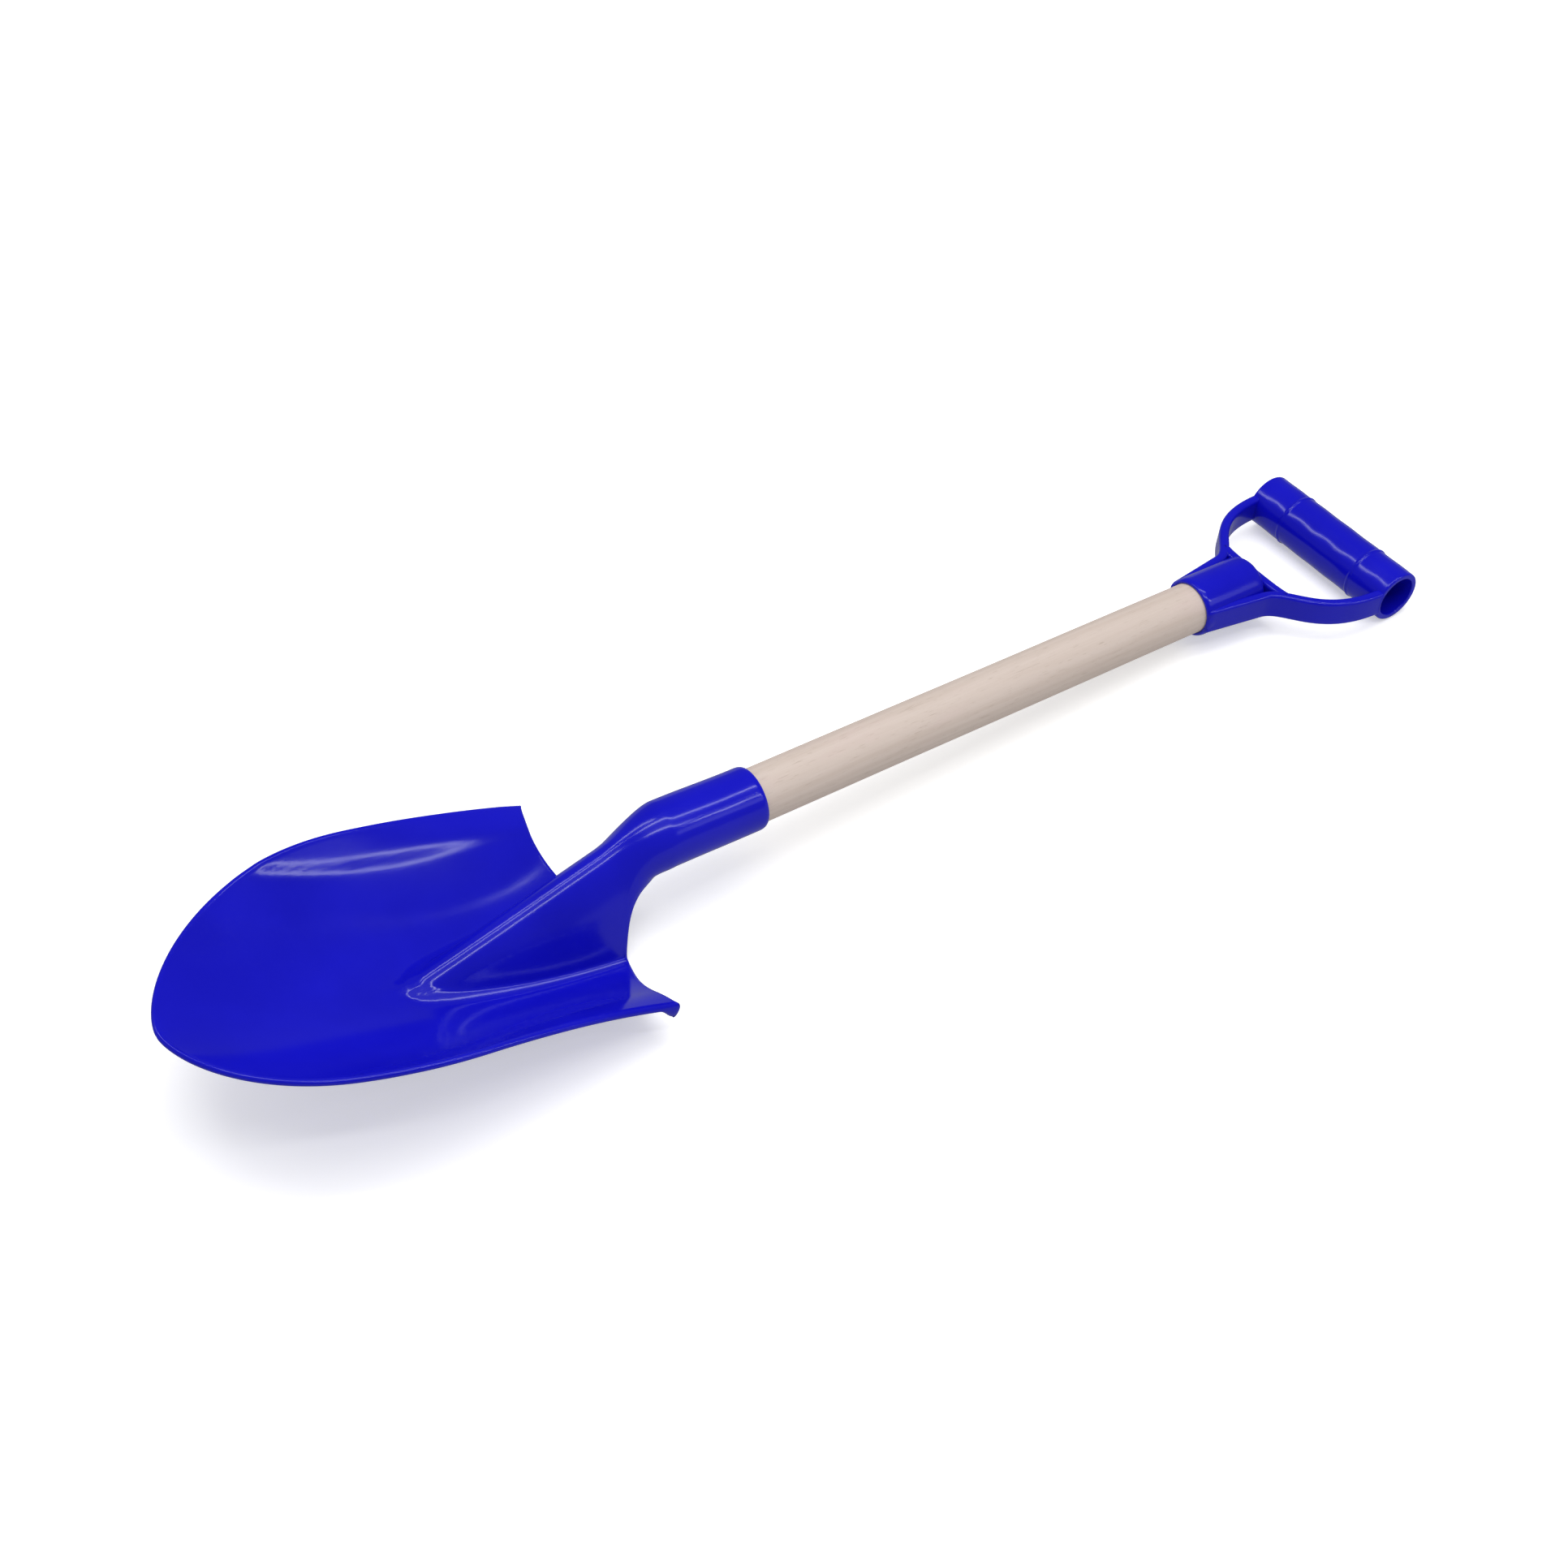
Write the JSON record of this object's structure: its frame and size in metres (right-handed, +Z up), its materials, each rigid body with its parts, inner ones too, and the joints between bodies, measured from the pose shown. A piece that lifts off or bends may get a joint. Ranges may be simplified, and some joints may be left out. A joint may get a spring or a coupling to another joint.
{
  "type": "sand shovel",
  "caption": "Child's sand shovel: a dished, pointed blue plastic blade and a blue plastic D-grip on a plain wooden dowel.",
  "frame": {"origin": "on the ground, under the middle of the shovel's length and width, with the shovel laid face up", "axes": "+X from the blade's tip toward the D-grip, +Y along the crossbar, +Z up"},
  "size_m": [0.5332, 0.115, 0.0551],
  "materials": {
    "blue_plastic": "smooth injection-moulded plastic, glossy, deep blue",
    "bare_wood": "sanded, uncoated pale hardwood with a fine straight grain",
    "screw_steel": "bright zinc-plated steel"
  },
  "bodies": {
    "root": {"blade": "blue_plastic", "dowel": "bare_wood", "grip": "blue_plastic", "blade_screw": "screw_steel", "grip_screw": "screw_steel"}
  },
  "joints": []
}
